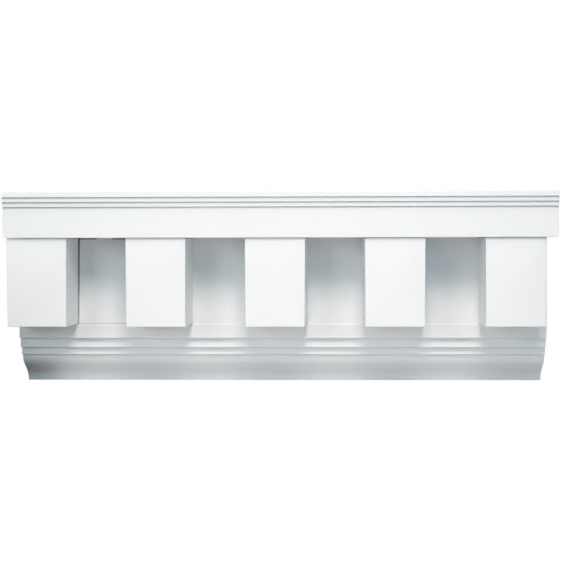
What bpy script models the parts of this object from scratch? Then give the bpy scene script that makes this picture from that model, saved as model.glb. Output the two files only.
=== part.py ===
"""Dentil moulding: a crown strip, a frieze board, a row of blocks and a bed moulding.

The run lies along X, its front faces -Y and +Z is up. The origin is on the flat back,
at half the length and half the height.
"""
import math

import bmesh
import bpy

# Driving dimensions, in metres

# Blocks
BLOCK_COUNT = 5
BLOCK_PITCH = 0.1524
BLOCK_WIDTH = 0.0766
BLOCK_FOOT_TAPER = 0.0006
BLOCK_BACK_TAPER = 0.0023
BLOCK_RELIEF = 0.0730
BLOCK_BEFORE_END = 0.0002
BLOCK_AFTER_END = 0.0105

# Heights, from the top down
CROWN_FILLET_HEIGHTS = (0.0067, 0.0061, 0.0061)
BAND_HEIGHT = 0.0391
FRIEZE_HEIGHT = 0.1138
FASCIA_HEIGHT = 0.0188
BED_FILLET_HEIGHTS = (0.0127, 0.0099, 0.0030)
OVOLO_HEIGHT = 0.0105
SLOPE_HEIGHT = 0.0110
CAVETTO_HEIGHT = 0.0136

# Depths, from the front of the top fillet back
CROWN_STEP = 0.00265
BAND_OVERHANG = 0.0039
BED_LEDGE = 0.0025
BED_STEPS = (0.0063, 0.0070, 0.0060)
BACK_THICKNESS = 0.0044

# Slopes of the reversed curve, measured from the upright
OVOLO_TOP_SLOPE = math.radians(18.0)
CURVE_MIDDLE_SLOPE = math.radians(58.0)
CAVETTO_FOOT_SLOPE = math.radians(10.0)

# Ends, arrises and joints
CROWN_END_OVERHANG = 0.0036
CROWN_ARRIS = 0.0009
BLOCK_ARRIS = 0.0008
BED_ARRIS = 0.0008
FOOT_ARRIS = 0.0018
HOUSING_DEPTH = 0.0030
JOINT_GAP = 0.0003
OPEN_JOINT_HEAD = 0.0014
OPEN_JOINT_FOOT = 0.0007

# Facets on each rounded arris, and on the ovolo and the cavetto
ARRIS_FACETS = 3
CURVE_FACETS = 10

# Sizes that follow
BED_LENGTH = BLOCK_BEFORE_END + BLOCK_WIDTH + (BLOCK_COUNT - 1) * BLOCK_PITCH + BLOCK_AFTER_END
CROWN_LENGTH = BED_LENGTH + 2 * CROWN_END_OVERHANG
CURVE_HEIGHT = OVOLO_HEIGHT + SLOPE_HEIGHT + CAVETTO_HEIGHT
BED_HEIGHT = FASCIA_HEIGHT + sum(BED_FILLET_HEIGHTS) + CURVE_HEIGHT
CROWN_HEIGHT = sum(CROWN_FILLET_HEIGHTS) + BAND_HEIGHT
TOTAL_HEIGHT = CROWN_HEIGHT + FRIEZE_HEIGHT + BED_HEIGHT

OVOLO_RADIUS = OVOLO_HEIGHT / (math.sin(CURVE_MIDDLE_SLOPE) - math.sin(OVOLO_TOP_SLOPE))
CAVETTO_RADIUS = CAVETTO_HEIGHT / (math.sin(CURVE_MIDDLE_SLOPE) - math.sin(CAVETTO_FOOT_SLOPE))
OVOLO_DEPTH = OVOLO_RADIUS * (math.cos(OVOLO_TOP_SLOPE) - math.cos(CURVE_MIDDLE_SLOPE))
SLOPE_DEPTH = SLOPE_HEIGHT * math.tan(CURVE_MIDDLE_SLOPE)
CAVETTO_DEPTH = CAVETTO_RADIUS * (math.cos(CAVETTO_FOOT_SLOPE) - math.cos(CURVE_MIDDLE_SLOPE))

# Places of the faces: y runs from the back, 0, to the front
FOOT_Y = -BACK_THICKNESS
CAVETTO_TOP_Y = FOOT_Y - CAVETTO_DEPTH
CURVE_TOP_Y = CAVETTO_TOP_Y - SLOPE_DEPTH - OVOLO_DEPTH
FASCIA_Y = CURVE_TOP_Y - sum(BED_STEPS)
WALL_Y = FASCIA_Y + BED_LEDGE
BLOCK_Y = WALL_Y - BLOCK_RELIEF
BAND_Y = BLOCK_Y - BAND_OVERHANG
FRONT_Y = BAND_Y - len(CROWN_FILLET_HEIGHTS) * CROWN_STEP

# Places of the joints: z runs from half the height below the origin to half above
TOP_Z = TOTAL_HEIGHT / 2
SOFFIT_Z = TOP_Z - CROWN_HEIGHT
LEDGE_Z = SOFFIT_Z - FRIEZE_HEIGHT
FOOT_Z = LEDGE_Z - BED_HEIGHT

PAINT_COLOUR = (0.87, 0.88, 0.88, 1.0)
PAINT_ROUGHNESS = 0.42


def clear_scene():
    """Remove every object of the open scene."""
    for old in list(bpy.data.objects):
        bpy.data.objects.remove(old, do_unlink=True)


def paint(name, shade):
    """A satin white paint, a little lighter or darker by shade."""
    material = bpy.data.materials.new(name)
    material.use_nodes = True
    shader = material.node_tree.nodes["Principled BSDF"]
    colour = [min(1.0, channel * shade) for channel in PAINT_COLOUR[:3]]
    shader.inputs["Base Color"].default_value = (*colour, 1.0)
    shader.inputs["Roughness"].default_value = PAINT_ROUGHNESS
    shader.inputs["Metallic"].default_value = 0.0
    return material


def rounded_outline(corners):
    """Turn corners (y, z, radius) into outline points, with an arc where there is a radius."""
    points = []
    for index, (y, z, radius) in enumerate(corners):
        if radius == 0.0:
            points.append((y, z))
            continue
        before = corners[index - 1]
        after = corners[(index + 1) % len(corners)]
        to_before = unit(before[0] - y, before[1] - z)
        to_after = unit(after[0] - y, after[1] - z)
        half_angle = math.acos(to_before[0] * to_after[0] + to_before[1] * to_after[1]) / 2
        setback = radius / math.tan(half_angle)
        middle = unit(to_before[0] + to_after[0], to_before[1] + to_after[1])
        reach = radius / math.sin(half_angle)
        centre = (y + middle[0] * reach, z + middle[1] * reach)
        start = bearing(centre, (y + to_before[0] * setback, z + to_before[1] * setback))
        end = bearing(centre, (y + to_after[0] * setback, z + to_after[1] * setback))
        turn = (end - start + math.pi) % (2 * math.pi) - math.pi
        for step in range(ARRIS_FACETS + 1):
            angle = start + turn * step / ARRIS_FACETS
            points.append((centre[0] + radius * math.cos(angle), centre[1] + radius * math.sin(angle)))
    return points


def unit(y, z):
    """The direction of (y, z), one unit long."""
    length = math.hypot(y, z)
    return y / length, z / length


def bearing(centre, point):
    """The angle at which the point is seen from the centre."""
    return math.atan2(point[1] - centre[1], point[0] - centre[0])


def add_object(name, bm, material, location=(0.0, 0.0, 0.0)):
    """Make a named object of a closed bmesh, with its faces pointing out."""
    bmesh.ops.recalc_face_normals(bm, faces=bm.faces)
    mesh = bpy.data.meshes.new(name)
    bm.to_mesh(mesh)
    bm.free()
    mesh.materials.append(material)
    return place_mesh(name, mesh, location)


def place_mesh(name, mesh, location):
    """Link an object that uses the mesh, at the location."""
    piece = bpy.data.objects.new(name, mesh)
    piece.location = location
    bpy.context.scene.collection.objects.link(piece)
    return piece


def loft(loop_a, loop_b):
    """A closed solid between two outlines that have the same number of points."""
    bm = bmesh.new()
    ring_a = [bm.verts.new(point) for point in loop_a]
    ring_b = [bm.verts.new(point) for point in loop_b]
    count = len(ring_a)
    bm.faces.new(ring_a)
    bm.faces.new(ring_b)
    for index in range(count):
        following = (index + 1) % count
        bm.faces.new((ring_a[index], ring_a[following], ring_b[following], ring_b[index]))
    return bm


def run_of_profile(outline, length):
    """Carry an outline in Y and Z along X, cut square at both ends."""
    ends = [[(side * length / 2, y, z) for y, z in outline] for side in (-1, 1)]
    return loft(*ends)


def crown_outline():
    """Three fillets that step back, a flat band, and a level soffit back to the wall."""
    corners = [(0.0, TOP_Z, 0.0), (FRONT_Y, TOP_Z, CROWN_ARRIS)]
    y = FRONT_Y
    z = TOP_Z
    for height in CROWN_FILLET_HEIGHTS:
        z -= height
        corners.append((y, z, CROWN_ARRIS))
        y += CROWN_STEP
        corners.append((y, z, 0.0))
    corners.append((BAND_Y, SOFFIT_Z, CROWN_ARRIS))
    corners.append((0.0, SOFFIT_Z, 0.0))
    return rounded_outline(corners)


def slope_arc(y, z, radius, slope_from, slope_to, sign):
    """Points of an arc that goes down and back while its slope from the upright changes.

    The arc is an ovolo where sign is 1 and a cavetto where sign is -1.
    """
    points = []
    for step in range(1, CURVE_FACETS + 1):
        slope = slope_from + (slope_to - slope_from) * step / CURVE_FACETS
        back = sign * radius * (math.cos(slope_from) - math.cos(slope))
        down = sign * radius * (math.sin(slope) - math.sin(slope_from))
        points.append((y + back, z - down, 0.0))
    return points


def bed_outline():
    """A fascia, fillets that step back, an ovolo, a straight slope, a cavetto and a flat foot."""
    corners = [(0.0, LEDGE_Z, 0.0), (FASCIA_Y, LEDGE_Z, BED_ARRIS)]
    y = FASCIA_Y
    z = LEDGE_Z
    for height, step in zip((FASCIA_HEIGHT, *BED_FILLET_HEIGHTS), BED_STEPS):
        z -= height
        corners.append((y, z, BED_ARRIS))
        y += step
        corners.append((y, z, 0.0))
    z -= BED_FILLET_HEIGHTS[-1]
    corners.append((y, z, 0.0))
    corners += slope_arc(y, z, OVOLO_RADIUS, OVOLO_TOP_SLOPE, CURVE_MIDDLE_SLOPE, 1)
    z -= OVOLO_HEIGHT + SLOPE_HEIGHT
    corners.append((CAVETTO_TOP_Y, z, 0.0))
    corners += slope_arc(CAVETTO_TOP_Y, z, CAVETTO_RADIUS, CURVE_MIDDLE_SLOPE, CAVETTO_FOOT_SLOPE, -1)
    corners[-1] = (FOOT_Y, FOOT_Z, FOOT_ARRIS)
    corners.append((0.0, FOOT_Z, 0.0))
    return rounded_outline(corners)


def block_centres():
    """The middle of each block along X."""
    first = -BED_LENGTH / 2 + BLOCK_BEFORE_END + BLOCK_WIDTH / 2
    return [first + index * BLOCK_PITCH for index in range(BLOCK_COUNT)]


def side_reach(back_taper, depth_share, height_share):
    """How far a block's side is from its middle.

    depth_share is 0 in front and 1 at the back, height_share is 0 at the foot and 1 at the head.
    """
    return BLOCK_WIDTH / 2 - BLOCK_FOOT_TAPER * (1 - height_share) + back_taper * depth_share


def block_body(left_back_taper):
    """A square-faced block that narrows a little towards its foot and its front, with small arrises."""
    back_y = WALL_Y + HOUSING_DEPTH - JOINT_GAP
    foot_z = LEDGE_Z + JOINT_GAP
    head_z = SOFFIT_Z - JOINT_GAP
    loops = []
    for y, depth_share in ((BLOCK_Y, 0.0), (back_y, 1.0)):
        loops.append([
            (-side_reach(left_back_taper, depth_share, 0.0), y, foot_z),
            (side_reach(BLOCK_BACK_TAPER, depth_share, 0.0), y, foot_z),
            (side_reach(BLOCK_BACK_TAPER, depth_share, 1.0), y, head_z),
            (-side_reach(left_back_taper, depth_share, 1.0), y, head_z),
        ])
    bm = loft(*loops)
    front_limit = BLOCK_Y + BLOCK_ARRIS
    front_edges = [edge for edge in bm.edges if min(vert.co.y for vert in edge.verts) < front_limit]
    bmesh.ops.bevel(bm, geom=front_edges, offset=BLOCK_ARRIS, offset_type="OFFSET",
                    segments=ARRIS_FACETS, profile=0.5, affect="EDGES")
    return bm


def build_blocks():
    """The row of blocks: the first one's outer side is square with the end of the run."""
    centres = block_centres()
    finish = paint("block paint", 1.0)
    blocks = [add_object("dentil_block_1", block_body(0.0), finish, (centres[0], 0.0, 0.0))]
    for index in range(1, BLOCK_COUNT):
        name = f"dentil_block_{index + 1}"
        location = (centres[index], 0.0, 0.0)
        if index == 1:
            blocks.append(add_object(name, block_body(BLOCK_BACK_TAPER), finish, location))
        else:
            blocks.append(place_mesh(name, blocks[1].data, location))
    return blocks


def housing_sides(index, centre, height_share):
    """Left and right side of the housing that holds a block, where the block is widest."""
    half = side_reach(BLOCK_BACK_TAPER, 1.0, height_share)
    left = centre - half - JOINT_GAP
    right = centre + half + JOINT_GAP
    if index == 0:
        open_joint = OPEN_JOINT_FOOT + (OPEN_JOINT_HEAD - OPEN_JOINT_FOOT) * height_share
        right = centre + half + open_joint
    return max(left, -BED_LENGTH / 2), right


def board_outline(z, height_share):
    """The board in plan: its front has a shallow housing for each block."""
    half_length = BED_LENGTH / 2
    housing_y = WALL_Y + HOUSING_DEPTH
    points = [(half_length, 0.0, z), (-half_length, 0.0, z)]
    for index, centre in enumerate(block_centres()):
        left, right = housing_sides(index, centre, height_share)
        if index > 0:
            points.append((left, WALL_Y, z))
        points.append((left, housing_y, z))
        points.append((right, housing_y, z))
        points.append((right, WALL_Y, z))
    points.append((half_length, WALL_Y, z))
    return points


def build_frieze_board():
    """The flat board behind the blocks, with its housings cut from head to foot."""
    foot = board_outline(LEDGE_Z + JOINT_GAP, 0.0)
    head = board_outline(SOFFIT_Z - JOINT_GAP, 1.0)
    return add_object("frieze_board", loft(foot, head), paint("board paint", 0.98))


def build_crown_strip():
    """The strip at the top, which reaches a little past the pieces below it at both ends."""
    strip = run_of_profile(crown_outline(), CROWN_LENGTH)
    return add_object("crown_strip", strip, paint("crown paint", 1.0))


def build_bed_moulding():
    """The strip at the foot, which carries the board and the backs of the blocks on its ledge."""
    strip = run_of_profile(bed_outline(), BED_LENGTH)
    return add_object("bed_moulding", strip, paint("bed paint", 0.97))


def main():
    clear_scene()
    run = bpy.data.objects.new("dentil_moulding", None)
    bpy.context.scene.collection.objects.link(run)
    pieces = [build_crown_strip(), build_frieze_board(), build_bed_moulding(), *build_blocks()]
    for piece in pieces:
        piece.parent = run


main()
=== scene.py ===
"""A painted dentil moulding: its surfaces, its paint, the studio and the camera."""

import bmesh
import bpy
import numpy as np
from bpy.props import FloatProperty, FloatVectorProperty, IntProperty, PointerProperty
from mathutils import Matrix, Vector


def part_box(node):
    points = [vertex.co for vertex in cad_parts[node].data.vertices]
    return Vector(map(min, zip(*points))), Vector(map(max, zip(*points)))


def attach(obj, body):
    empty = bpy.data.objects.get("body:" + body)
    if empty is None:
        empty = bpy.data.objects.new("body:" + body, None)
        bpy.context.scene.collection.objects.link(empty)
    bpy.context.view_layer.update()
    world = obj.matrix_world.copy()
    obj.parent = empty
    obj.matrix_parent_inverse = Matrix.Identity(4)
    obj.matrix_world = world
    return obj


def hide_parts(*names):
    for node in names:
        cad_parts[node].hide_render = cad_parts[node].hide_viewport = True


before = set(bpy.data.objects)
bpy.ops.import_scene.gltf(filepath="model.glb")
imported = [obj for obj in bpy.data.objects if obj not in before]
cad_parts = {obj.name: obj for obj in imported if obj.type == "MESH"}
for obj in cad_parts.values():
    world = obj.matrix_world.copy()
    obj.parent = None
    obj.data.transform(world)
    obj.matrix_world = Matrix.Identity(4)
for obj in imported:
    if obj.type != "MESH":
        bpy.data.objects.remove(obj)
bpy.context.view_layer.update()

bl_info = {
    "name": "Dentil moulding",
    "version": (1, 0, 0),
    "blender": (4, 5, 0),
    "location": "3D View > Sidebar > Moulding",
    "description": "Builds a painted dentil moulding with its joints, its paint and a studio round it",
    "category": "Add Mesh",
}

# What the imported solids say: lowest and highest corner of each
CROWN_LOW, CROWN_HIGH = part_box("crown_strip")
BOARD_LOW, BOARD_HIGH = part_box("frieze_board")
BED_LOW, BED_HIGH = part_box("bed_moulding")
BLOCK_NAMES = sorted(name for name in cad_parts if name.startswith("dentil_block"))

# Distance from a rounded edge to the point that keeps the face beside it flat
SUPPORT = 0.00012
# How far the filler beads reach into the block, the ledge and the crown beside them
HAIR = 0.00003
# Points closer than this become one
MERGE = 1e-6
# Edges sharper than this stay crisp
CREASE = np.radians(32.0)
# Mesh lines across the board in one bay, and along a block from the board to its face
WALL_COLUMNS = 36
BLOCK_LINES = 10
# Facets on the ovolo and on the cavetto for each facet on a rounded edge
CURVE_SHARE = 3
# Radius of a block's long edges, over the radius of the edges round its face
LONG_EDGE = 1.15

# Colour and roughness of the white paint
PALE = (0.745, 0.785, 0.800)
SATIN = 0.42
# Turns of brush streak a metre along X, Y and Z
ALONG_RUN = (9.0, 260.0, 260.0)
UP_BLOCK = (260.0, 260.0, 9.0)
# Turns a metre of the roller's peel and of the slow change of tone and gloss
PEEL_TURNS = 420.0
CLOUD_TURNS = 9.0
# Share of the brush streaks in the relief, the rest is peel
STREAK_RELIEF = 0.55
# Change of roughness by the clouds and by the streaks
CLOUD_GLOSS = 0.04
STREAK_GLOSS = 0.05
# Range of tone in the clouds, and change of tone by the streaks
CLOUD_TONE = (0.985, 1.01)
STREAK_TONE = 0.006
# Share of the paint's colour left where the paint doesn't reach, deep in the open joint: a painted shade,
# near black, for the shade there
SLOT_SHADE_TONE = 0.05

# Name, bearing and height in degrees, power and colour of each soft light
SOFT_LIGHTS = (
    ("key light", 5.0, 47.0, 21.0, (1.0, 0.803, 0.694)),
    ("front light", 5.0, 40.0, 16.8, (1.0, 0.915, 0.912)),
    ("high light", 5.0, 70.0, 12.4, (1.0, 0.894, 0.905)),
    ("left light", -30.0, 12.0, 10.3, (0.815, 0.951, 1.0)),
    ("far left light", -50.0, 12.0, 5.3, (1.0, 0.916, 0.883)),
    ("right light", 22.0, 12.0, 2.2, (0.148, 0.861, 1.0)),
    ("far right light", 42.0, 12.0, 4.6, (0.720, 0.877, 1.0)),
    ("back light", 180.0, 35.0, 8.0, (0.9, 0.95, 1.0)),
)


class MouldingSizes(bpy.types.PropertyGroup):
    """Sizes of the profiles, the blocks and the joints."""

    crown_fillets: FloatVectorProperty(
        name="Crown fillets", description="Heights of the three fillets, from the top down",
        default=(0.0067, 0.0061, 0.0061), size=3, unit="LENGTH")
    crown_step: FloatProperty(
        name="Crown step", description="How far each crown fillet stands behind the one above",
        default=0.00265, unit="LENGTH")
    crown_quirk: FloatProperty(
        name="Crown quirk", description="Depth of the fine groove below each crown fillet",
        default=0.0007, unit="LENGTH")
    crown_arris: FloatProperty(
        name="Crown arris", description="Radius of the rounded edges of the crown strip",
        default=0.0006, unit="LENGTH")
    crown_corner: FloatProperty(
        name="Crown corner", description="Radius of the worn lower corner at the left end of the band",
        default=0.0024, unit="LENGTH")
    fascia: FloatProperty(
        name="Fascia", description="Height of the flat fascia below the board",
        default=0.0188, unit="LENGTH")
    bed_fillets: FloatVectorProperty(
        name="Bed fillets", description="Heights of the three bed fillets, from the top down",
        default=(0.0127, 0.0099, 0.0030), size=3, unit="LENGTH")
    bed_steps: FloatVectorProperty(
        name="Bed steps", description="How far each bed fillet stands behind the face above it",
        default=(0.0063, 0.0070, 0.0060), size=3, unit="LENGTH")
    bed_arris: FloatProperty(
        name="Bed arris", description="Radius of the rounded lower edges of the bed moulding's faces",
        default=0.0007, unit="LENGTH")
    ledge_arris: FloatProperty(
        name="Ledge arris", description="Radius of the fascia's upper edge, in front of the board",
        default=0.0013, unit="LENGTH")
    foot_arris: FloatProperty(
        name="Foot arris", description="Radius of the lowest edge, below the cavetto",
        default=0.0014, unit="LENGTH")
    ovolo: FloatProperty(
        name="Ovolo", description="Height of the rounded part of the reversed curve",
        default=0.0105, unit="LENGTH")
    slope: FloatProperty(
        name="Slope", description="Height of the straight slope between the ovolo and the cavetto",
        default=0.0110, unit="LENGTH")
    cavetto: FloatProperty(
        name="Cavetto", description="Height of the hollow part of the reversed curve",
        default=0.0136, unit="LENGTH")
    ovolo_top: FloatProperty(
        name="Ovolo top", description="Slope from the upright where the ovolo starts",
        default=np.radians(18.0), subtype="ANGLE")
    curve_middle: FloatProperty(
        name="Curve middle", description="Slope from the upright between the ovolo and the cavetto",
        default=np.radians(58.0), subtype="ANGLE")
    cavetto_foot: FloatProperty(
        name="Cavetto foot", description="Slope from the upright where the cavetto ends",
        default=np.radians(10.0), subtype="ANGLE")
    inner_radius: FloatProperty(
        name="Paint in corners", description="Radius of the paint that fills the inner corners",
        default=0.0002, unit="LENGTH")
    end_arris: FloatProperty(
        name="End arris", description="Radius of the edges of the square cut ends",
        default=0.0005, unit="LENGTH")
    block_width: FloatProperty(
        name="Block width", description="Width of a block's face at its head",
        default=0.0766, unit="LENGTH")
    block_foot_taper: FloatProperty(
        name="Block foot taper", description="How much narrower a block's face is at its foot, on each side",
        default=0.0006, unit="LENGTH")
    block_back_taper: FloatProperty(
        name="Block back taper", description="How much wider a block is at the board, on each side",
        default=0.0023, unit="LENGTH")
    block_arris: FloatProperty(
        name="Block arris", description="Radius of the edges round a block's face",
        default=0.0007, unit="LENGTH")
    housing: FloatProperty(
        name="Housing", description="Depth that the blocks are let into the board",
        default=0.0030, unit="LENGTH")
    joint: FloatProperty(
        name="Joint", description="Width of the joints between the pieces",
        default=0.0003, unit="LENGTH")
    slot: FloatProperty(
        name="Slot", description="Depth of the open joints round the board in the first bay",
        default=0.0100, unit="LENGTH")
    board_arris: FloatProperty(
        name="Board arris", description="Radius of the board's edge beside the open joint",
        default=0.0004, unit="LENGTH")
    bead: FloatProperty(
        name="Filler bead", description="Radius of the filler in the closed inner joints",
        default=0.0011, unit="LENGTH")
    open_head: FloatProperty(
        name="Open joint at head", description="Width of the open joint beside the first block, at its head",
        default=0.0018, unit="LENGTH")
    open_foot: FloatProperty(
        name="Open joint at foot", description="Width of the open joint beside the first block, at its foot",
        default=0.0009, unit="LENGTH")
    head_bead: FloatProperty(
        name="Head bead", description="Radius of the filler below the crown, in the closed bays",
        default=0.0005, unit="LENGTH")
    slit: FloatProperty(
        name="Slit", description="How far the board's head stays short of the crown where the joint is open",
        default=0.0016, unit="LENGTH")
    foot_slit: FloatProperty(
        name="Foot slit", description="How far the board stays above the ledge in the first bay",
        default=0.0002, unit="LENGTH")
    slit_closed: FloatVectorProperty(
        name="Slit closed", description="Where filler holds in the first bay, from the first block on",
        default=(0.0250, 0.0436), size=2, unit="LENGTH")
    filler_ease: FloatProperty(
        name="Filler ease", description="Length over which that filler fades out at each end",
        default=0.0012, unit="LENGTH")
    foot_round: FloatProperty(
        name="Foot round", description="Depth of the board's rounded lower edge there, over the bead's",
        default=0.4, subtype="FACTOR")
    facets: IntProperty(
        name="Facets", description="Facets on each rounded edge", default=8, min=2)
    spacing: FloatProperty(
        name="Spacing", description="Distance between the mesh lines on long faces",
        default=0.008, unit="LENGTH")


class PaintLook(bpy.types.PropertyGroup):
    """Colour and surface of the white paint."""

    colour: FloatVectorProperty(
        name="Colour", description="Colour of the paint", default=PALE, size=3, subtype="COLOR")
    roughness: FloatProperty(
        name="Roughness", description="Roughness of the satin paint", default=SATIN, subtype="FACTOR")
    back_tint: FloatProperty(
        name="Back tint", description="Tone of the board and the bed against the crown and the blocks",
        default=0.99, subtype="FACTOR")
    relief: FloatProperty(
        name="Relief", description="Depth of the marks left by brush and roller",
        default=0.00004, unit="LENGTH")


class StudioLook(bpy.types.PropertyGroup):
    """Lights, floor and camera."""

    floor_drop: FloatProperty(
        name="Floor drop", description="How far the floor is below the moulding",
        default=0.0180, unit="LENGTH")
    floor_size: FloatProperty(
        name="Floor size", description="Length of the floor, from front to back",
        default=8.0, unit="LENGTH")
    floor_inset: FloatProperty(
        name="Floor inset", description="How far inside the moulding's left end the floor starts",
        default=0.035, unit="LENGTH")
    floor_reach: FloatProperty(
        name="Floor reach", description="How far the floor runs past the moulding's right end",
        default=0.120, unit="LENGTH")
    floor_colour: FloatVectorProperty(
        name="Floor colour", description="Colour of the floor",
        default=(0.85, 0.85, 0.85), size=3, subtype="COLOR")
    floor_roughness: FloatProperty(
        name="Floor roughness", description="Roughness of the floor", default=0.9, subtype="FACTOR")
    light_distance: FloatProperty(
        name="Light distance", description="Distance from each soft light to the moulding's face",
        default=2.2, unit="LENGTH")
    light_side: FloatProperty(
        name="Light side", description="Side of each square soft light", default=0.7, unit="LENGTH")
    lens: FloatProperty(
        name="Lens", description="Focal length for a frame 36 mm wide", default=87.5)
    camera_place: FloatVectorProperty(
        name="Camera place", description="Where the camera stands: right of the left end of the crown strip, "
        "in front of its front and above the foot of the bed moulding",
        default=(0.4246, 1.7636, 0.1856), size=3, unit="LENGTH")
    camera_turn: FloatVectorProperty(
        name="Camera turn", description="Turn to the right, tilt down and roll of the camera",
        default=np.radians((-1.973, 1.818, -0.124)), size=3, subtype="EULER")


# Surfaces


def unit(vectors):
    """Vectors scaled to length one along the last axis."""
    return vectors / np.linalg.norm(vectors, axis=-1, keepdims=True)


def rounded_ring(corners, facets):
    """Closed outline through corners (a, b, radius), with an arc in place of each corner that has a radius.

    An arc's centre lies on the bisector, at the radius over the sine of half the corner's angle. Its points
    turn evenly from one tangent point to the other. One more point stands just before and after each arc.
    """
    corners = np.array(corners, float)
    place, radius = corners[:, :2], corners[:, 2]
    before = unit(np.roll(place, 1, axis=0) - place)
    after = unit(np.roll(place, -1, axis=0) - place)
    half = np.arccos(np.clip((before * after).sum(axis=1), -1.0, 1.0)) / 2
    share = np.linspace(0.0, 1.0, facets + 1)[:, None]
    pieces = []
    for index in range(len(corners)):
        if radius[index] == 0.0:
            pieces.append(place[index:index + 1])
            continue
        setback = radius[index] / np.tan(half[index])
        centre = place[index] + unit(before[index] + after[index]) * radius[index] / np.sin(half[index])
        start = place[index] + before[index] * setback - centre
        end = place[index] + after[index] * setback - centre
        turn = np.pi - 2 * half[index]
        arc = (np.sin((1 - share) * turn) * start + np.sin(share * turn) * end) / np.sin(turn)
        pieces.append(place[index:index + 1] + before[index] * (setback + SUPPORT))
        pieces.append(centre + arc)
        pieces.append(place[index:index + 1] + after[index] * (setback + SUPPORT))
    return np.concatenate(pieces)


def inward(ring):
    """For each point of a closed outline, the direction square to its neighbours' line that points inside."""
    following = np.roll(ring, -1, axis=0)
    along = unit(following - ring)
    along = unit(along + np.roll(along, 1, axis=0))
    area = (ring[:, 0] * following[:, 1] - following[:, 0] * ring[:, 1]).sum()
    return np.sign(area) * np.stack((-along[:, 1], along[:, 0]), axis=1)


def eased_stations(low, high, radius, facets, spacing):
    """Places from low to high with a quarter circle at each end, and the inset that belongs to each place.

    At an angle t, from 90 degrees at the cut to 0, the place is radius times (1 - sin t) from the end and
    the inset is radius times (1 - cos t).
    """
    angle = np.linspace(np.pi / 2, 0.0, facets + 1)
    from_end = radius * (1 - np.sin(angle))
    inset = radius * (1 - np.cos(angle))
    count = max(2, round((high - low) / spacing))
    middle = np.linspace(low + radius + SUPPORT, high - radius - SUPPORT, count)
    place = np.concatenate((low + from_end, middle, (high - from_end)[::-1]))
    insets = np.concatenate((inset, np.zeros(count), inset[::-1]))
    return place, insets


def add_run(name, points, material, bare=None):
    """Mesh of a closed ring of points carried through stations, with a flat face at each end.

    points has the shape (stations, ring, 3). Each quad joins two neighbours of a ring to the same two of
    the next ring. The last argument is 1 at points that the paint doesn't reach, which take a painted shade
    for the deep open joint.
    """
    stations, ring = points.shape[:2]
    index = np.arange(stations * ring).reshape(stations, ring)
    following = np.roll(index, -1, axis=1)
    quads = np.stack((index[:-1], following[:-1], following[1:], index[1:]), axis=-1).reshape(-1, 4)
    faces = quads.tolist() + [index[0, ::-1].tolist(), index[-1].tolist()]
    mesh = bpy.data.meshes.new(name)
    mesh.from_pydata(points.reshape(-1, 3).tolist(), [], faces)
    # Mark the points that take a painted shade, near black, in the depth of the open joint
    if bare is not None:
        mesh.attributes.new("bare", "FLOAT", "POINT").data.foreach_set("value", bare.ravel())
    bm = bmesh.new()
    bm.from_mesh(mesh)
    bmesh.ops.remove_doubles(bm, verts=bm.verts, dist=MERGE)
    bmesh.ops.recalc_face_normals(bm, faces=bm.faces)
    bm.to_mesh(mesh)
    bm.free()
    mesh.shade_smooth()
    mesh.set_sharp_from_angle(angle=CREASE)
    mesh.materials.append(material)
    piece = bpy.data.objects.new(name, mesh)
    bpy.context.scene.collection.objects.link(piece)
    return piece


def dress(piece, nodes):
    """Fix the piece to the moulding in place of its solids, which it hides."""
    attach(piece, "root")
    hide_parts(*nodes)


def carried_along_x(ring, low, high, radius, sizes):
    """Ring (y, z) carried along X between low and high, its edges rounded at both cut ends."""
    place, inset = eased_stations(low, high, radius, sizes.facets, sizes.spacing)
    section = ring[None] + inset[:, None, None] * inward(ring)[None]
    across = np.broadcast_to(place[:, None, None], (len(place), len(ring), 1))
    return np.concatenate((across, section), axis=2)


# Crown strip


def crown_ring(sizes):
    """Three fillets that step back over a fine groove, the flat band, and the level soffit."""
    arris, quirk = sizes.crown_arris, sizes.crown_quirk
    y, z = CROWN_LOW.y, CROWN_HIGH.z
    corners = [(0.0, z, 0.0), (y, z, arris)]
    for height in sizes.crown_fillets:
        z -= height
        corners.append((y, z, arris))
        y += sizes.crown_step
        corners += [(y + quirk, z, 0.0), (y, z - quirk, 0.0)]
    corners.append((y, CROWN_LOW.z, arris))
    corners.append((0.0, CROWN_LOW.z, 0.0))
    return rounded_ring(corners, sizes.facets)


def crown_points(sizes):
    """The crown's ring along X, with its lower left corner worn round.

    Within one radius of the left end the soffit rises by the radius less the root of the radius squared
    less the squared distance from the radius, as a circle does.
    """
    points = carried_along_x(crown_ring(sizes), CROWN_LOW.x, CROWN_HIGH.x, sizes.end_arris, sizes)
    radius = sizes.crown_corner
    short = np.clip(radius - (points[..., 0] - CROWN_LOW.x), 0.0, radius)
    rise = radius - np.sqrt(radius ** 2 - short ** 2)
    low = points[..., 2] < CROWN_LOW.z + radius
    points[..., 2] += np.where(low, rise, 0.0)
    return points


# Bed moulding


def curve_points(y, z, height, slope_from, slope_to, sign, count):
    """Points of an arc of that height that goes down and back as its slope turns.

    With slopes s from the upright, the arc's radius is the height over the difference of their sines. A
    point lies radius times the difference of cosines back, and of sines down. sign is 1 for an ovolo and
    -1 for a cavetto.
    """
    radius = height / abs(np.sin(slope_to) - np.sin(slope_from))
    slope = np.linspace(slope_from, slope_to, count + 1)[1:]
    back = sign * radius * (np.cos(slope_from) - np.cos(slope))
    down = sign * radius * (np.sin(slope) - np.sin(slope_from))
    return np.stack((y + back, z - down, np.zeros(count)), axis=1)


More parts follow.
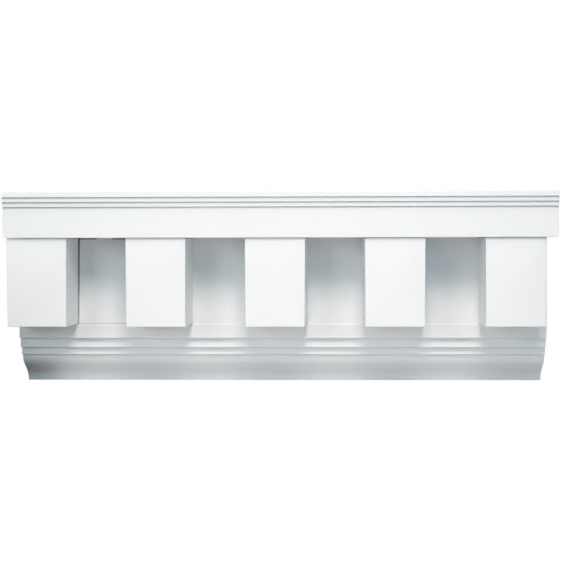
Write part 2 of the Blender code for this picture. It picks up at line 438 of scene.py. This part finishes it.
def bed_ring(sizes):
    """A fascia, three fillets that step back, an ovolo, a straight slope, a cavetto and a flat foot."""
    arris, paint_fill = sizes.bed_arris, sizes.inner_radius
    y, z = BED_LOW.y, BED_HIGH.z
    corners = [(0.0, z, 0.0), (y, z, sizes.ledge_arris)]
    heights = (sizes.fascia, sizes.bed_fillets[0], sizes.bed_fillets[1])
    for height, step in zip(heights, sizes.bed_steps):
        z -= height
        corners.append((y, z, arris))
        y += step
        corners.append((y, z, paint_fill))
    z -= sizes.bed_fillets[2]
    corners.append((y, z, 0.0))
    count = CURVE_SHARE * sizes.facets
    ovolo = curve_points(y, z, sizes.ovolo, sizes.ovolo_top, sizes.curve_middle, 1, count)
    y, z = ovolo[-1, 0] + sizes.slope * np.tan(sizes.curve_middle), ovolo[-1, 1] - sizes.slope
    cavetto = curve_points(y, z, sizes.cavetto, sizes.curve_middle, sizes.cavetto_foot, -1, count)
    cavetto[-1] = (cavetto[-1, 0], BED_LOW.z, sizes.foot_arris)
    corners = np.concatenate((corners, ovolo, [(y, z, 0.0)], cavetto, [(0.0, BED_LOW.z, 0.0)]))
    return rounded_ring(corners, sizes.facets)


# Blocks


def block_side(sizes, height_share, depth_share, tapers):
    """Distance of a block's side from its middle: half the width, less the foot taper, plus the back one."""
    narrowed = sizes.block_width / 2 - sizes.block_foot_taper * (1 - height_share)
    return narrowed + tapers * sizes.block_back_taper * depth_share


def block_centre(name, sizes):
    """Middle of the block's face along X, from the right side of its solid at the board."""
    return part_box(name)[1].x - sizes.block_width / 2 - sizes.block_back_taper


def block_points(name, sizes):
    """A rounded rectangle (x, z) carried along Y from the board to the face, with a rounded arris there.

    Both tapers then widen or narrow each section. The first block's left side has no back taper.
    """
    low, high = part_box(name)
    centre = block_centre(name, sizes)
    corner = sizes.block_arris * LONG_EDGE
    half = sizes.block_width / 2
    ring = rounded_ring([(-half, low.z, corner), (half, low.z, corner),
                         (half, high.z, corner), (-half, high.z, corner)], sizes.facets)
    angle = np.linspace(0.0, np.pi / 2, sizes.facets + 1)
    back_to_face = np.linspace(high.y, low.y + sizes.block_arris + SUPPORT, BLOCK_LINES)
    y = np.concatenate((back_to_face, low.y + sizes.block_arris * (1 - np.sin(angle))))
    inset = np.concatenate((np.zeros(BLOCK_LINES), sizes.block_arris * (1 - np.cos(angle))))
    section = ring[None] + inset[:, None, None] * inward(ring)[None]
    depth_share = ((y - low.y) / (high.y - low.y))[:, None]
    height_share = (section[..., 1] - low.z) / (high.z - low.z)
    tapers = np.where((section[..., 0] < 0) & (name == BLOCK_NAMES[0]), 0.0, 1.0)
    side = block_side(sizes, height_share, depth_share, tapers)
    x = centre + section[..., 0] / half * side
    depth = np.broadcast_to(y[:, None], x.shape)
    return np.stack((x, depth, section[..., 1]), axis=-1)


# Frieze board


def bead_profile(radius, facets):
    """Distance from the corner and rise of a hollow bead: a quarter circle from one face to the other."""
    angle = np.linspace(0.0, np.pi / 2, facets + 1)
    return radius * (1 - np.sin(angle)), radius * (1 - np.cos(angle))


def wall_reach(name, sizes, height_share):
    """Distance of a block's side from its middle where it meets the board's face."""
    low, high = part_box(name)
    depth_share = (BOARD_LOW.y - low.y) / (high.y - low.y)
    return block_side(sizes, height_share, depth_share, 1.0)


def board_plan(sizes, height_share):
    """The board's front in plan at one height, from left to right: x, and the rise in front of the wall.

    The rise is a hollow bead's beside a closed joint, minus the housing's depth behind a block, and minus the
    slot's depth in the open joint beside the first block, where the board's edge is a quarter round.
    """
    distance, rise = bead_profile(sizes.bead, sizes.facets)
    edge_in, edge_back = bead_profile(sizes.board_arris, sizes.facets)
    share = np.linspace(0.0, 1.0, WALL_COLUMNS)
    side = block_centre(BLOCK_NAMES[0], sizes) + wall_reach(BLOCK_NAMES[0], sizes, height_share)
    edge = side + sizes.open_foot + (sizes.open_head - sizes.open_foot) * height_share
    inner = side - sizes.housing
    x = [[BOARD_LOW.x, inner, inner, edge], edge + edge_back]
    up = [[-sizes.housing, -sizes.housing, -sizes.slot, -sizes.slot], -edge_in]
    wall_start = edge + sizes.board_arris + SUPPORT
    for name in BLOCK_NAMES[1:]:
        reach = wall_reach(name, sizes, height_share)
        left = block_centre(name, sizes) - reach
        right = block_centre(name, sizes) + reach
        wall_end = left - sizes.bead - SUPPORT
        x += [wall_start + (wall_end - wall_start) * share, left + HAIR - distance]
        x += [[left - sizes.joint, right + sizes.joint], right - HAIR + distance[::-1]]
        up += [np.zeros(WALL_COLUMNS), rise, [-sizes.housing, -sizes.housing], rise[::-1]]
        wall_start = right + sizes.bead + SUPPORT
    x.append([wall_start, BOARD_HIGH.x])
    up.append([0.0, 0.0])
    return np.concatenate(x), np.concatenate(up)


def held(x, start, stop, ease):
    """1 between start and stop and 0 outside, with a smooth change over ease at both."""
    share = np.clip(np.minimum(x - start, stop - x) / ease + 0.5, 0.0, 1.0)
    return share * share * (3 - 2 * share)


def board_rows(sizes):
    """One turn round the board's section: height, rise in front of the wall, and what each row belongs to.

    It goes from the bead on the ledge up the wall to the bead below the crown, back along the top, down the
    back and forward along the foot. Rows with part 0 reach from the front to the slot's depth and leave the
    joints open in the first bay, rows with part 1 stand at that depth and close them, and rows with part 2
    are at the back.
    """
    foot_distance, foot_rise = bead_profile(sizes.bead, sizes.facets)
    head_distance, head_rise = bead_profile(sizes.head_bead, sizes.facets)
    low, high = BED_HIGH.z, CROWN_LOW.z
    wall = np.linspace(low + sizes.bead + SUPPORT, high - sizes.head_bead - SUPPORT,
                       max(2, round((high - low) / sizes.spacing)))
    behind_head = -(sizes.head_bead + sizes.joint)
    top, foot = BOARD_HIGH.z, BOARD_LOW.z
    z = np.concatenate((low - HAIR + foot_distance[::-1], wall, high + HAIR - head_distance,
                        [top, top, top, top, foot, foot, foot, foot]))
    rise = np.concatenate((foot_rise[::-1], np.zeros(len(wall)), head_rise,
                           [behind_head, -sizes.slot, -sizes.slot, 0.0],
                           [0.0, -sizes.slot, -sizes.slot, behind_head]))
    part = np.zeros(len(z), int)
    part[-8:] = (0, 0, 1, 2, 2, 1, 0, 0)
    return z, rise, part


def board_points(sizes):
    """The board's section carried along the plan of its front, and the points that take a painted shade.

    At each place the rise is the larger of the plan's and the row's, the smaller one in rows behind the wall,
    and behind a block the plan's alone. In the first bay the section is pressed together between the foot
    slit and the head slit, and the rise of its beads is turned round, which makes them rounded edges, apart
    from the stretch where the filler holds. Points at the slot's depth round that bay, which the paint
    doesn't reach, are marked for a painted shade, near black, that stands for the shade deep in the open
    joint.
    """
    z, row_rise, part = board_rows(sizes)
    x_foot, plan_rise = board_plan(sizes, 0.0)
    x_head, _ = board_plan(sizes, 1.0)
    height_share = np.clip((z - BOARD_LOW.z) / (BOARD_HIGH.z - BOARD_LOW.z), 0.0, 1.0)
    x = x_foot[:, None] + (x_head - x_foot)[:, None] * height_share[None]
    bay_start = block_centre(BLOCK_NAMES[0], sizes) + wall_reach(BLOCK_NAMES[0], sizes, 1.0)
    bay_end = block_centre(BLOCK_NAMES[1], sizes)
    filled = held(x_head - bay_start, sizes.slit_closed[0], sizes.slit_closed[1], sizes.filler_ease)
    behind = plan_rise <= -sizes.housing
    open_bay = ((x_head < bay_end) & ~behind)[:, None]
    open_head = (sizes.slit * (1 - filled))[:, None] * height_share[None]
    squeeze = sizes.foot_slit * (1 - height_share[None]) - open_head
    height = z[None] + np.where(open_bay & (part[None] == 0), squeeze, 0.0)
    upper_half = height_share[None] > 0.5
    turned = np.where(upper_half, 2 * filled[:, None] - 1, -sizes.foot_round)
    turned = np.where(open_bay, turned, 1.0)
    raised = row_rise[None] * turned
    rise = np.where(turned > 0, np.maximum(plan_rise[:, None], raised), plan_rise[:, None] + raised)
    rise = np.where(behind[:, None], plan_rise[:, None], rise)
    rise = np.where(row_rise[None] < 0, np.minimum(plan_rise[:, None], row_rise[None]), rise)
    y = np.where(part[None] < 2, BOARD_LOW.y - rise, BOARD_HIGH.y)
    # Painted shade: the points at the slot's depth round the first bay go near black, for the shade deep in
    # the open joint
    round_bay = ((x_head > bay_start - 2 * sizes.housing) & (x_head < bay_end))[:, None]
    bare = np.where(round_bay & (part[None] < 2) & (rise <= -sizes.slot), 1.0, 0.0)
    return np.stack((x, y, height), axis=-1), bare


# Paint


def add_group_socket(group, name, direction, kind, default=None):
    """One named input or output of a node group."""
    socket = group.interface.new_socket(name=name, in_out=direction, socket_type=kind)
    if default is not None:
        socket.default_value = default


def link(tree, start, end):
    """Join two sockets."""
    tree.links.new(start, end)


def noise(tree, vector, scale, detail, roughness):
    """Noise of so many turns a metre on the coordinates given."""
    node = tree.nodes.new("ShaderNodeTexNoise")
    node.inputs["Scale"].default_value = scale
    node.inputs["Detail"].default_value = detail
    node.inputs["Roughness"].default_value = roughness
    link(tree, vector, node.inputs["Vector"])
    return node.outputs["Fac"]


def spread(tree, value, low, high):
    """A value from 0 to 1 brought to the range from low to high."""
    node = tree.nodes.new("ShaderNodeMapRange")
    node.inputs["To Min"].default_value = low
    node.inputs["To Max"].default_value = high
    link(tree, value, node.inputs["Value"])
    return node.outputs["Result"]


def combined(tree, operation, first, second):
    """Two values, or a value and a number, brought together."""
    node = tree.nodes.new("ShaderNodeMath")
    node.operation = operation
    link(tree, first, node.inputs[0])
    if isinstance(second, float):
        node.inputs[1].default_value = second
    else:
        link(tree, second, node.inputs[1])
    return node.outputs[0]


def paint_film_group():
    """Satin paint: faint streaks from the brush, a fine peel, a slow change of tone and gloss, and painted
    shade.

    Streaks is a place whose long axis is pressed together, so that the noise on it draws out into lines. The
    last input is 1 where the paint doesn't reach, and there the colour is painted near black as the shade
    deep in the open joint.
    """
    group = bpy.data.node_groups.get("paint film")
    if group is not None:
        return group
    group = bpy.data.node_groups.new("paint film", "ShaderNodeTree")
    add_group_socket(group, "Place", "INPUT", "NodeSocketVector")
    add_group_socket(group, "Streaks", "INPUT", "NodeSocketVector")
    add_group_socket(group, "Colour", "INPUT", "NodeSocketColor", (*PALE, 1.0))
    add_group_socket(group, "Roughness", "INPUT", "NodeSocketFloat", SATIN)
    add_group_socket(group, "Painted slot shade", "INPUT", "NodeSocketFloat", 0.0)
    add_group_socket(group, "Colour", "OUTPUT", "NodeSocketColor")
    add_group_socket(group, "Roughness", "OUTPUT", "NodeSocketFloat")
    add_group_socket(group, "Height", "OUTPUT", "NodeSocketFloat")
    given = group.nodes.new("NodeGroupInput")
    result = group.nodes.new("NodeGroupOutput")
    streaks = noise(group, given.outputs["Streaks"], scale=1.0, detail=4.0, roughness=0.6)
    peel = noise(group, given.outputs["Place"], scale=PEEL_TURNS, detail=2.0, roughness=0.5)
    clouds = noise(group, given.outputs["Place"], scale=CLOUD_TURNS, detail=3.0, roughness=0.5)
    streak_height = combined(group, "MULTIPLY", streaks, STREAK_RELIEF)
    peel_height = combined(group, "MULTIPLY", peel, 1 - STREAK_RELIEF)
    link(group, combined(group, "ADD", streak_height, peel_height), result.inputs["Height"])
    gloss = combined(group, "ADD", spread(group, clouds, -CLOUD_GLOSS, CLOUD_GLOSS),
                     spread(group, streaks, -STREAK_GLOSS, STREAK_GLOSS))
    link(group, combined(group, "ADD", gloss, given.outputs["Roughness"]), result.inputs["Roughness"])
    tone = combined(group, "ADD", spread(group, clouds, *CLOUD_TONE),
                    spread(group, streaks, -STREAK_TONE, STREAK_TONE))
    # Painted shade: the colour goes near black where the paint doesn't reach, for the shade deep in the open
    # joint
    painted_slot_darkening = spread(group, given.outputs["Painted slot shade"], 1.0, SLOT_SHADE_TONE)
    shade = group.nodes.new("ShaderNodeVectorMath")
    shade.operation = "SCALE"
    link(group, given.outputs["Colour"], shade.inputs[0])
    link(group, combined(group, "MULTIPLY", tone, painted_slot_darkening), shade.inputs["Scale"])
    link(group, shade.outputs["Vector"], result.inputs["Colour"])
    return group


def paint_material(name, look, stretch, tint):
    """White satin paint whose brush streaks follow the stretch: turns of streak a metre along each axis.

    The attribute that only the board has is 1 where the paint doesn't reach, and there the colour takes a
    painted shade, near black, for the shade deep in the open joint.
    """
    material = bpy.data.materials.new(name)
    material.use_nodes = True
    tree = material.node_tree
    shader = tree.nodes["Principled BSDF"]
    place = tree.nodes.new("ShaderNodeTexCoord")
    mapping = tree.nodes.new("ShaderNodeMapping")
    mapping.inputs["Scale"].default_value = stretch
    link(tree, place.outputs["Object"], mapping.inputs["Vector"])
    film = tree.nodes.new("ShaderNodeGroup")
    film.node_tree = paint_film_group()
    link(tree, place.outputs["Object"], film.inputs["Place"])
    link(tree, mapping.outputs["Vector"], film.inputs["Streaks"])
    film.inputs["Colour"].default_value = (*[channel * tint for channel in look.colour], 1.0)
    film.inputs["Roughness"].default_value = look.roughness
    # Painted shade of the open joint, read from the board's attribute
    bare = tree.nodes.new("ShaderNodeAttribute")
    bare.attribute_name = "bare"
    link(tree, bare.outputs["Fac"], film.inputs["Painted slot shade"])
    bump = tree.nodes.new("ShaderNodeBump")
    bump.inputs["Distance"].default_value = look.relief
    link(tree, film.outputs["Height"], bump.inputs["Height"])
    link(tree, film.outputs["Colour"], shader.inputs["Base Color"])
    link(tree, film.outputs["Roughness"], shader.inputs["Roughness"])
    link(tree, bump.outputs["Normal"], shader.inputs["Normal"])
    return material


# Studio


def add_floor(studio):
    """A plain pale floor: one flat rectangle, from near the moulding's left end to past its right end.

    The camera sees it as white from above and looks through it from below.
    """
    left, right = BED_LOW.x + studio.floor_inset, BED_HIGH.x + studio.floor_reach
    half = studio.floor_size / 2
    z = BED_LOW.z - studio.floor_drop
    mesh = bpy.data.meshes.new("floor")
    mesh.from_pydata([(left, -half, z), (right, -half, z), (right, half, z), (left, half, z)], [],
                     [(0, 1, 2, 3)])
    floor = bpy.data.objects.new("floor", mesh)
    bpy.context.scene.collection.objects.link(floor)
    material = bpy.data.materials.new("pale floor")
    material.use_nodes = True
    tree = material.node_tree
    shader = tree.nodes["Principled BSDF"]
    shader.inputs["Base Color"].default_value = (*studio.floor_colour, 1.0)
    shader.inputs["Roughness"].default_value = studio.floor_roughness
    glow = tree.nodes.new("ShaderNodeEmission")
    clear = tree.nodes.new("ShaderNodeBsdfTransparent")
    side = tree.nodes.new("ShaderNodeNewGeometry")
    view = tree.nodes.new("ShaderNodeMixShader")
    link(tree, side.outputs["Backfacing"], view.inputs["Fac"])
    link(tree, glow.outputs["Emission"], view.inputs[1])
    link(tree, clear.outputs["BSDF"], view.inputs[2])
    seen = tree.nodes.new("ShaderNodeLightPath")
    mix = tree.nodes.new("ShaderNodeMixShader")
    link(tree, seen.outputs["Is Camera Ray"], mix.inputs["Fac"])
    link(tree, shader.outputs["BSDF"], mix.inputs[1])
    link(tree, view.outputs["Shader"], mix.inputs[2])
    link(tree, mix.outputs["Shader"], tree.nodes["Material Output"].inputs["Surface"])
    mesh.materials.append(material)


def add_backdrop():
    """An even white backdrop that the camera sees and that gives no light."""
    world = bpy.data.worlds.new("studio")
    world.use_nodes = True
    tree = world.node_tree
    backdrop = tree.nodes["Background"]
    backdrop.inputs["Color"].default_value = (1.0, 1.0, 1.0, 1.0)
    seen = tree.nodes.new("ShaderNodeLightPath")
    link(tree, seen.outputs["Is Camera Ray"], backdrop.inputs["Strength"])
    bpy.context.scene.world = world


def add_soft_light(studio, name, bearing, height, power, colour):
    """A square soft light aimed at the middle of the moulding's face.

    Its bearing in degrees is 0 straight in front and grows to the right, and its height is in degrees too.
    """
    turn, rise = np.radians(bearing), np.radians(height)
    target = Vector((0.0, CROWN_LOW.y, 0.0))
    way = Vector((np.sin(turn) * np.cos(rise), -np.cos(turn) * np.cos(rise), np.sin(rise)))
    light = bpy.data.lights.new(name, "AREA")
    light.shape = "SQUARE"
    light.size = studio.light_side
    light.energy = power
    light.color = colour
    lamp = bpy.data.objects.new(name, light)
    lamp.location = target + way * studio.light_distance
    lamp.rotation_mode = "QUATERNION"
    lamp.rotation_quaternion = (-way).to_track_quat("-Z", "Y")
    bpy.context.scene.collection.objects.link(lamp)


def add_camera(studio):
    """A camera that looks along its turned and tilted axis from a little right of the moulding's middle.

    Forward is (sin turn cos tilt, cos turn cos tilt, -sin tilt). Right is level, and both right and up then
    roll about forward.
    """
    turn, tilt, roll = studio.camera_turn
    forward = Vector((np.sin(turn) * np.cos(tilt), np.cos(turn) * np.cos(tilt), -np.sin(tilt)))
    level = Vector((np.cos(turn), -np.sin(turn), 0.0))
    upright = level.cross(forward)
    right = level * np.cos(roll) + upright * np.sin(roll)
    up = right.cross(forward)
    data = bpy.data.cameras.new("camera")
    data.lens = studio.lens
    camera = bpy.data.objects.new("camera", data)
    right_of_end, before_front, above_foot = studio.camera_place
    place = Vector((CROWN_LOW.x + right_of_end, CROWN_LOW.y - before_front, BED_LOW.z + above_foot))
    axes = Matrix((right, up, -forward)).transposed()
    camera.matrix_world = Matrix.Translation(place) @ axes.to_4x4()
    bpy.context.scene.collection.objects.link(camera)
    bpy.context.scene.camera = camera


# Operators


class DENTIL_OT_crown_strip(bpy.types.Operator):
    """Make the crown strip with its fillets and its flat band."""

    bl_idname = "dentil.crown_strip"
    bl_label = "Crown strip"

    def execute(self, context):
        sizes, look = context.scene.dentil_sizes, context.scene.dentil_paint
        paint = paint_material("crown paint", look, ALONG_RUN, 1.0)
        dress(add_run("painted_crown_strip", crown_points(sizes), paint), ["crown_strip"])
        return {"FINISHED"}


class DENTIL_OT_frieze_board(bpy.types.Operator):
    """Make the board behind the blocks, with the filler in its joints."""

    bl_idname = "dentil.frieze_board"
    bl_label = "Frieze board"

    def execute(self, context):
        sizes, look = context.scene.dentil_sizes, context.scene.dentil_paint
        paint = paint_material("board paint", look, ALONG_RUN, look.back_tint)
        # The board's points, and where they take the painted shade of the open joint
        points, bare = board_points(sizes)
        board = add_run("painted_frieze_board", points, paint, bare)
        dress(board, ["frieze_board"])
        return {"FINISHED"}


class DENTIL_OT_bed_moulding(bpy.types.Operator):
    """Make the bed moulding with its fascia, its fillets and its reversed curve."""

    bl_idname = "dentil.bed_moulding"
    bl_label = "Bed moulding"

    def execute(self, context):
        sizes, look = context.scene.dentil_sizes, context.scene.dentil_paint
        paint = paint_material("bed paint", look, ALONG_RUN, look.back_tint)
        points = carried_along_x(bed_ring(sizes), BED_LOW.x, BED_HIGH.x, sizes.end_arris, sizes)
        dress(add_run("painted_bed_moulding", points, paint), ["bed_moulding"])
        return {"FINISHED"}


class DENTIL_OT_dentil_blocks(bpy.types.Operator):
    """Make the row of blocks."""

    bl_idname = "dentil.dentil_blocks"
    bl_label = "Dentil blocks"

    def execute(self, context):
        sizes, look = context.scene.dentil_sizes, context.scene.dentil_paint
        paint = paint_material("block paint", look, UP_BLOCK, 1.0)
        for name in BLOCK_NAMES:
            dress(add_run("painted_" + name, block_points(name, sizes), paint), [name])
        return {"FINISHED"}


class DENTIL_OT_studio(bpy.types.Operator):
    """Set up the floor, the backdrop, the lights and the camera."""

    bl_idname = "dentil.studio"
    bl_label = "Studio"

    def execute(self, context):
        studio = context.scene.dentil_studio
        add_floor(studio)
        add_backdrop()
        for soft_light in SOFT_LIGHTS:
            add_soft_light(studio, *soft_light)
        add_camera(studio)
        context.scene.view_settings.view_transform = "Standard"
        return {"FINISHED"}


class DENTIL_PT_panel(bpy.types.Panel):
    """Buttons for each piece of the moulding and for the studio."""

    bl_label = "Dentil moulding"
    bl_space_type = "VIEW_3D"
    bl_region_type = "UI"
    bl_category = "Moulding"

    def draw(self, context):
        """Draw a button for each operator and a box for each group of settings."""
        for operator in OPERATORS:
            self.layout.operator(operator.bl_idname)
        for settings in (context.scene.dentil_sizes, context.scene.dentil_paint,
                         context.scene.dentil_studio):
            box = self.layout.box()
            for name in settings.bl_rna.properties.keys():
                if name not in ("rna_type", "name"):
                    box.prop(settings, name)


OPERATORS = (DENTIL_OT_crown_strip, DENTIL_OT_frieze_board, DENTIL_OT_bed_moulding,
             DENTIL_OT_dentil_blocks, DENTIL_OT_studio)
CLASSES = (MouldingSizes, PaintLook, StudioLook, *OPERATORS, DENTIL_PT_panel)


def register():
    """Add the settings, the operators and the panel."""
    for cls in CLASSES:
        bpy.utils.register_class(cls)
    bpy.types.Scene.dentil_sizes = PointerProperty(type=MouldingSizes)
    bpy.types.Scene.dentil_paint = PointerProperty(type=PaintLook)
    bpy.types.Scene.dentil_studio = PointerProperty(type=StudioLook)


def unregister():
    """Take the settings, the operators and the panel away."""
    del bpy.types.Scene.dentil_studio
    del bpy.types.Scene.dentil_paint
    del bpy.types.Scene.dentil_sizes
    for cls in reversed(CLASSES):
        bpy.utils.unregister_class(cls)


def main():
    register()
    bpy.ops.dentil.crown_strip()
    bpy.ops.dentil.frieze_board()
    bpy.ops.dentil.bed_moulding()
    bpy.ops.dentil.dentil_blocks()
    bpy.ops.dentil.studio()


if __name__ == "__main__":
    main()
